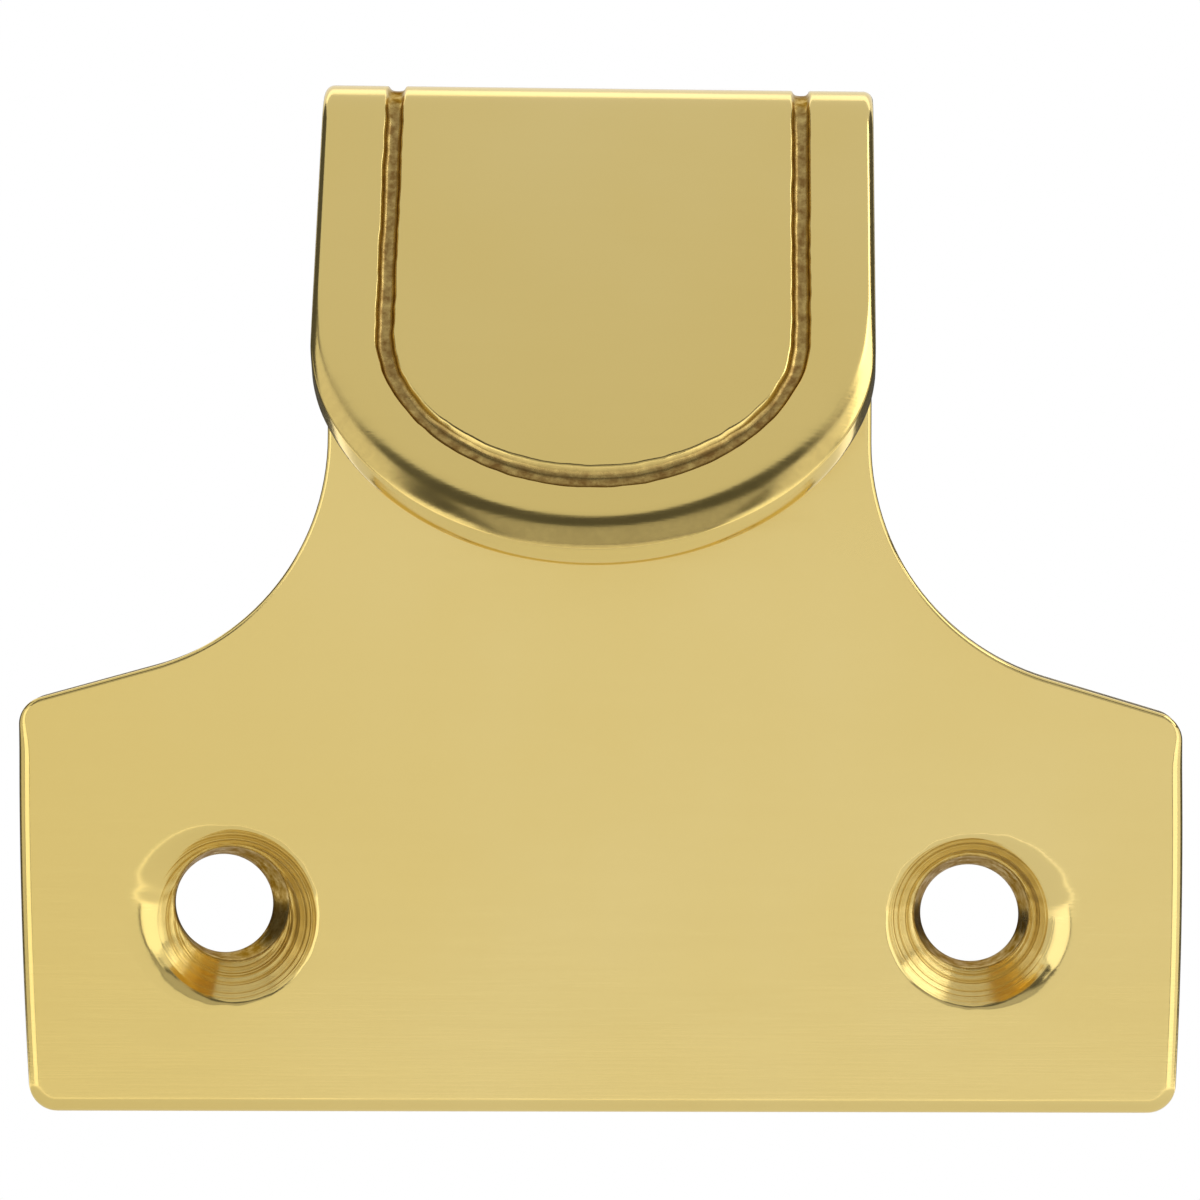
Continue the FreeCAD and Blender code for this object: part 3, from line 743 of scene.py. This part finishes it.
def foldTree():
    tree = bpy.data.node_groups.new("foldOverTop", "GeometryNodeTree")
    tree.interface.new_socket("Geometry", in_out="INPUT", socket_type="NodeSocketGeometry")
    inputs = {
        "rise": addSocket(tree, "Bend rise", "NodeSocketFloat"),
        "radius": addSocket(tree, "Bend radius", "NodeSocketFloat"),
        "slope": addSocket(tree, "Tab slope", "NodeSocketFloat"),
        "lean": addSocket(tree, "Bend lean", "NodeSocketFloat"),
        "finish": addSocket(tree, "Finish", "NodeSocketMaterial"),
    }
    tree.interface.new_socket("Geometry", in_out="OUTPUT", socket_type="NodeSocketGeometry")
    start = tree.nodes.new("NodeGroupInput")
    end = tree.nodes.new("NodeGroupOutput")
    radius = start.outputs["Bend radius"]
    turn = calc(tree, "SUBTRACT", math.pi, calc(tree, "RADIANS", start.outputs["Tab slope"]))
    place = tree.nodes.new("GeometryNodeInputPosition")
    parts = tree.nodes.new("ShaderNodeSeparateXYZ")
    tree.links.new(place.outputs[0], parts.inputs[0])
    x, y, z = parts.outputs
    rise = calc(tree, "SUBTRACT", start.outputs["Bend rise"],
                calc(tree, "MULTIPLY", x, start.outputs["Bend lean"]))

    past = calc(tree, "SUBTRACT", z, rise)
    theta = calc(tree, "MINIMUM", calc(tree, "DIVIDE", calc(tree, "MAXIMUM", past, 0.0), radius),
                 turn)
    over = calc(tree, "MAXIMUM", calc(tree, "SUBTRACT", past, calc(tree, "MULTIPLY", radius, turn)),
                0.0)
    sine = calc(tree, "SINE", theta)
    cosine = calc(tree, "COSINE", theta)
    ring = calc(tree, "ADD", radius, y)
    depth = calc(tree, "SUBTRACT", calc(tree, "MULTIPLY", ring, cosine),
                 calc(tree, "ADD", calc(tree, "MULTIPLY", over, sine), radius))
    height = calc(tree, "ADD", calc(tree, "MINIMUM", z, rise),
                  calc(tree, "ADD", calc(tree, "MULTIPLY", ring, sine),
                       calc(tree, "MULTIPLY", over, cosine)))
    folded = tree.nodes.new("ShaderNodeCombineXYZ")
    for socket, value in zip(folded.inputs, (x, depth, height)):
        tree.links.new(value, socket)

    # the place on the blank stays with each point, so that the finish follows the strip round
    keep = tree.nodes.new("GeometryNodeStoreNamedAttribute")
    keep.data_type = "FLOAT_VECTOR"
    keep.domain = "POINT"
    keep.inputs["Name"].default_value = "blank"
    setPlace = tree.nodes.new("GeometryNodeSetPosition")
    smooth = tree.nodes.new("GeometryNodeSetShadeSmooth")
    realize = tree.nodes.new("GeometryNodeRealizeInstances")
    paint = tree.nodes.new("GeometryNodeSetMaterial")
    tree.links.new(start.outputs["Geometry"], keep.inputs["Geometry"])
    tree.links.new(place.outputs[0], keep.inputs["Value"])
    tree.links.new(keep.outputs[0], setPlace.inputs["Geometry"])
    tree.links.new(folded.outputs[0], setPlace.inputs["Position"])
    tree.links.new(setPlace.outputs[0], smooth.inputs[0])
    tree.links.new(smooth.outputs[0], realize.inputs[0])
    tree.links.new(realize.outputs[0], paint.inputs["Geometry"])
    tree.links.new(start.outputs["Finish"], paint.inputs["Material"])
    tree.links.new(paint.outputs[0], end.inputs[0])
    return tree, inputs


def folded(mesh, finish):
    rough = bpy.data.objects.new("blankToFold", mesh)
    bpy.context.scene.collection.objects.link(rough)
    tree, inputs = foldTree()
    modifier = rough.modifiers.new("foldOverTop", "NODES")
    modifier.node_group = tree
    modifier[inputs["rise"]] = c["bendRise"] * millimetre
    modifier[inputs["radius"]] = c["bendRadius"] * millimetre
    modifier[inputs["slope"]] = c["tabSlope"]
    modifier[inputs["lean"]] = c["skew"]
    modifier[inputs["finish"]] = finish
    evaluated = rough.evaluated_get(bpy.context.evaluated_depsgraph_get())
    made = bpy.data.meshes.new_from_object(evaluated)
    rough.modifiers.clear()
    bpy.data.objects.remove(rough)
    piece = bpy.data.objects.new("brassCasting", made)
    bpy.context.scene.collection.objects.link(piece)
    return piece


brass = {
    "colour": (0.79, 0.60, 0.198, 1),
    "paleColour": (0.826, 0.650, 0.258, 1),
    "tarnishColour": (0.22, 0.115, 0.03, 1),
    "edgeColour": (1, 0.97, 0.88, 1),
    "tarnishEdge": (0.42, 0.26, 0.09, 1),
    "roughness": 0.14,
    "tarnishDull": 0.22,     # what each of these adds to the roughness
    "backDull": 0.16,
    "turnedDull": 0.08,
    "brushingHeight": 0.0000016,
    "turningHeight": 0.00002,
    "turningReach": 5.0,     # how far from a hole's middle the turning marks are seen
    # where the pale colour comes in, from and to, and how much of it there is at each end
    "paleAcross": (-25, -4, 0.1, 1.0),
    "paleAlong": (42, 62, 1.0, 0.15),
}


def node(tree, kind, **settings):
    made = tree.nodes.new(kind)
    for key, value in settings.items():
        if key in made.inputs:
            made.inputs[key].default_value = value
        else:
            setattr(made, key, value)
    return made


def polishedBrass():
    finish = bpy.data.materials.new("polishedBrass")
    finish.use_nodes = True
    tree = finish.node_tree
    link = tree.links.new
    shader = tree.nodes["Principled BSDF"]
    shader.inputs["Metallic"].default_value = 1.0

    blank = node(tree, "ShaderNodeAttribute", attribute_name="blank")
    scaled = node(tree, "ShaderNodeVectorMath", operation="SCALE")
    scaled.inputs["Scale"].default_value = 1000
    link(blank.outputs["Vector"], scaled.inputs[0])
    place = scaled.outputs[0]

    def stretched(x, y, z):
        mapping = node(tree, "ShaderNodeMapping")
        mapping.inputs["Scale"].default_value = (x, y, z)
        link(place, mapping.inputs["Vector"])
        return mapping.outputs[0]

    def cloud(vector, scale, detail=2.0, rough=0.5):
        made = node(tree, "ShaderNodeTexNoise", Scale=scale, Detail=detail, Roughness=rough)
        link(vector, made.inputs["Vector"])
        return made.outputs["Fac"]

    def mask(name):
        return node(tree, "ShaderNodeAttribute", attribute_name=name).outputs["Fac"]

    def ramp(value, low, high, first=0.0, last=1.0):
        made = node(tree, "ShaderNodeMapRange")
        made.inputs["From Min"].default_value = low
        made.inputs["From Max"].default_value = high
        made.inputs["To Min"].default_value = first
        made.inputs["To Max"].default_value = last
        link(value, made.inputs["Value"])
        return made.outputs["Result"]

    def mixed(amount, first, second):
        made = node(tree, "ShaderNodeMix", data_type="RGBA")
        link(amount, made.inputs["Factor"])
        for socket, value in ((made.inputs[6], first), (made.inputs[7], second)):
            if isinstance(value, tuple):
                socket.default_value = value
            else:
                link(value, socket)
        return made.outputs[2]

    # colour: slow drift over the faces, warmer on the left and down the tab, tarnish in the groove
    parts = node(tree, "ShaderNodeSeparateXYZ")
    link(place, parts.inputs[0])
    drift = ramp(cloud(stretched(1, 1, 1), 0.09, 3), 0.3, 0.7, 0.5, 1.0)
    drift = calc(tree, "MULTIPLY", drift, ramp(parts.outputs[0], *brass["paleAcross"]))
    drift = calc(tree, "MULTIPLY", drift, ramp(parts.outputs[2], *brass["paleAlong"]))
    colour = mixed(drift, brass["colour"], brass["paleColour"])
    patches = ramp(cloud(stretched(1, 1, 1), 2.2, 4, 0.7), 0.32, 0.62, 0.45, 0.95)
    tarnish = calc(tree, "MULTIPLY", mask("tarnish"), patches)
    colour = mixed(tarnish, colour, brass["tarnishColour"])
    link(colour, shader.inputs["Base Color"])
    # dirt keeps the bores and the groove from shining at a shallow angle
    shine = mixed(tarnish, brass["edgeColour"], brass["tarnishEdge"])
    link(shine, shader.inputs["Specular Tint"])

    # roughness: a little uneven, duller where tarnished and behind
    smear = ramp(cloud(stretched(0.35, 1, 3), 0.5, 3), 0.3, 0.7, brass["roughness"] * 0.85,
                 brass["roughness"] * 1.2)
    duller = calc(tree, "MULTIPLY", tarnish, brass["tarnishDull"])
    rear = calc(tree, "MULTIPLY", mask("behind"), brass["backDull"])
    cut = calc(tree, "MULTIPLY", mask("turned"), brass["turnedDull"])
    dull = calc(tree, "ADD", calc(tree, "ADD", duller, rear), cut)
    link(calc(tree, "ADD", smear, dull), shader.inputs["Roughness"])

    # fine relief: brushing along the strip's width, turning rings in the countersinks
    brushing = cloud(stretched(0.12, 1, 7), 1.4, 3, 0.6)
    bump = node(tree, "ShaderNodeBump", Strength=1.0, Distance=brass["brushingHeight"])
    link(brushing, bump.inputs["Height"])
    last = bump
    for way in (-1, 1):
        centre = node(tree, "ShaderNodeVectorMath", operation="SUBTRACT")
        link(place, centre.inputs[0])
        sink = holeCentres(way)[2]
        centre.inputs[1].default_value = (sink.x, 0, sink.y)
        flat = node(tree, "ShaderNodeVectorMath", operation="MULTIPLY")
        flat.inputs[1].default_value = (1, 0, 1)
        link(centre.outputs[0], flat.inputs[0])
        length = node(tree, "ShaderNodeVectorMath", operation="LENGTH")
        link(flat.outputs[0], length.inputs[0])
        reach = length.outputs["Value"]
        near = ramp(reach, brass["turningReach"], brass["turningReach"] - 0.4)
        rings = node(tree, "ShaderNodeTexNoise", noise_dimensions="1D", Scale=5.5, Detail=3.0)
        link(reach, rings.inputs["W"])
        height = calc(tree, "MULTIPLY", rings.outputs["Fac"],
                      calc(tree, "MULTIPLY", near, mask("turned")))
        turned = node(tree, "ShaderNodeBump", Strength=1.0, Distance=brass["turningHeight"])
        link(height, turned.inputs["Height"])
        link(last.outputs[0], turned.inputs["Normal"])
        last = turned
    link(last.outputs[0], shader.inputs["Normal"])
    return finish


def makeCasting():
    finish = polishedBrass()
    piece = folded(makeBlank(), finish)
    low = [min(v.co[k] for v in piece.data.vertices) * 1000 for k in range(3)]
    high = [max(v.co[k] for v in piece.data.vertices) * 1000 for k in range(3)]
    print("casting:", len(piece.data.polygons), "faces from", [round(x, 3) for x in low],
          "to", [round(x, 3) for x in high])
    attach(piece, "root")
    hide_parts("sash_lift")
    return piece


makeCasting()

studio = {
    "floorDrop": 0.07,
    "floorSize": 0.9,
    "floorGlow": 0.16,
    "glowStart": 0.3,        # from here to here, out from the middle, it pales to white
    "glowEnd": 0.45,
    "floorColour": (0.86, 0.86, 0.85, 1),
    "floorRoughness": 0.9,
    "surroundings": 0.09,    # how bright the empty studio looks in the metal
}
# place, width and height in metres, and how bright the panel looks
panels = {
    "frontPanel": ((0.02, -0.75, 0.04), 0.72, 0.36, 0.77),
    "upperFrontPanel": ((0.05, -0.68, 0.44), 0.7, 0.42, 0.42),
    "ceilingPanel": ((0, 0.20, 0.80), 1.3, 1.32, 0.64),
    "leftPanel": ((-0.55, -0.52, 0.03), 0.55, 0.6, 1.3),
    "farLeftPanel": ((-0.8, 0.0, 0.1), 0.6, 0.6, 0.6),
    "upperLeftPanel": ((-0.56, -0.26, 0.48), 0.5, 0.36, 0.8),
    "rightPanel": ((0.60, -0.48, 0.03), 0.55, 0.6, 1.35),
    "farRightPanel": ((0.8, 0.0, 0.05), 0.6, 0.5, 0.85),
    "upperRightPanel": ((0.50, -0.38, 0.45), 0.3, 0.36, 0.8),
    "keyPanel": ((0.52, -0.06, 0.50), 0.30, 0.42, 2.4),
    "backPanel": ((0, 0.9, 0.52), 1.4, 0.85, 0.8),
}


def makeStudio():
    floorMesh = bpy.data.meshes.new("floor")
    reach = studio["floorSize"] / 2
    z = cadLow.z - studio["floorDrop"]
    floorMesh.from_pydata([(-reach, -reach, z), (reach, -reach, z), (reach, reach, z),
                           (-reach, reach, z)], [], [(0, 1, 2, 3)])
    floor = bpy.data.objects.new("floor", floorMesh)
    bpy.context.scene.collection.objects.link(floor)
    matt = bpy.data.materials.new("paleFloor")
    matt.use_nodes = True
    shader = matt.node_tree.nodes["Principled BSDF"]
    shader.inputs["Base Color"].default_value = studio["floorColour"]
    shader.inputs["Roughness"].default_value = studio["floorRoughness"]
    shader.inputs["Emission Color"].default_value = studio["floorColour"]
    # the floor pales away to white before its edge
    tree = matt.node_tree
    where = node(tree, "ShaderNodeTexCoord")
    away = node(tree, "ShaderNodeVectorMath", operation="LENGTH")
    tree.links.new(where.outputs["Object"], away.inputs[0])
    glow = node(tree, "ShaderNodeMapRange", interpolation_type="SMOOTHSTEP")
    glow.inputs["From Min"].default_value = studio["glowStart"]
    glow.inputs["From Max"].default_value = studio["glowEnd"]
    glow.inputs["To Min"].default_value = studio["floorGlow"]
    glow.inputs["To Max"].default_value = 1.0
    tree.links.new(away.outputs["Value"], glow.inputs["Value"])
    tree.links.new(glow.outputs["Result"], shader.inputs["Emission Strength"])
    floorMesh.materials.append(matt)

    aim = (cadLow + cadHigh) / 2
    for name, (place, width, height, bright) in panels.items():
        light = bpy.data.lights.new(name, "AREA")
        light.shape = "RECTANGLE"
        light.size = width
        light.size_y = height
        light.energy = bright * math.pi * width * height
        lamp = bpy.data.objects.new(name, light)
        bpy.context.scene.collection.objects.link(lamp)
        lamp.location = place
        lamp.rotation_euler = (aim - Vector(place)).to_track_quat("-Z", "Y").to_euler()
        lamp.visible_camera = False

    # pure white to look at, a dimmer grey for what the metal mirrors
    world = bpy.data.worlds.new("studio")
    world.use_nodes = True
    bpy.context.scene.world = world
    tree = world.node_tree
    background = tree.nodes["Background"]
    path = tree.nodes.new("ShaderNodeLightPath")
    grey = tree.nodes.new("ShaderNodeMapRange")
    grey.inputs["To Min"].default_value = studio["surroundings"]
    grey.inputs["To Max"].default_value = 1.0
    tree.links.new(path.outputs["Is Camera Ray"], grey.inputs["Value"])
    tree.links.new(grey.outputs["Result"], background.inputs["Strength"])
    background.inputs["Color"].default_value = (1, 1, 1, 1)
    bpy.context.scene.view_settings.view_transform = "Standard"
    print("studio:", len(panels), "panels")


makeStudio()

view = {
    "aim": (0.03, -3.0, 12.7),     # millimetres
    "distance": 300.0,
    "upwards": -2.0,               # degrees
    "turn": -1.4,
    "roll": -0.03,
    "lens": 218.5,
    "sensor": 36,
    "clipStart": 0.01,
    "clipEnd": 20,
}


def makeCamera():
    data = bpy.data.cameras.new("camera")
    data.lens = view["lens"]
    data.sensor_width = view["sensor"]
    camera = bpy.data.objects.new("camera", data)
    bpy.context.scene.collection.objects.link(camera)
    pitch = math.radians(view["upwards"])
    turned = math.radians(view["turn"])
    direction = Vector((math.sin(turned) * math.cos(pitch), math.cos(turned) * math.cos(pitch),
                        math.sin(pitch)))
    aim = Vector(view["aim"]) * millimetre
    camera.location = aim - direction * view["distance"] * millimetre
    facing = direction.to_track_quat("-Z", "Y").to_matrix()
    rolled = facing @ Matrix.Rotation(math.radians(view["roll"]), 3, "Z")
    camera.rotation_euler = rolled.to_euler()
    data.clip_start = view["clipStart"]
    data.clip_end = view["clipEnd"]
    bpy.context.scene.camera = camera


makeCamera()

bpy.context.view_layer.update()
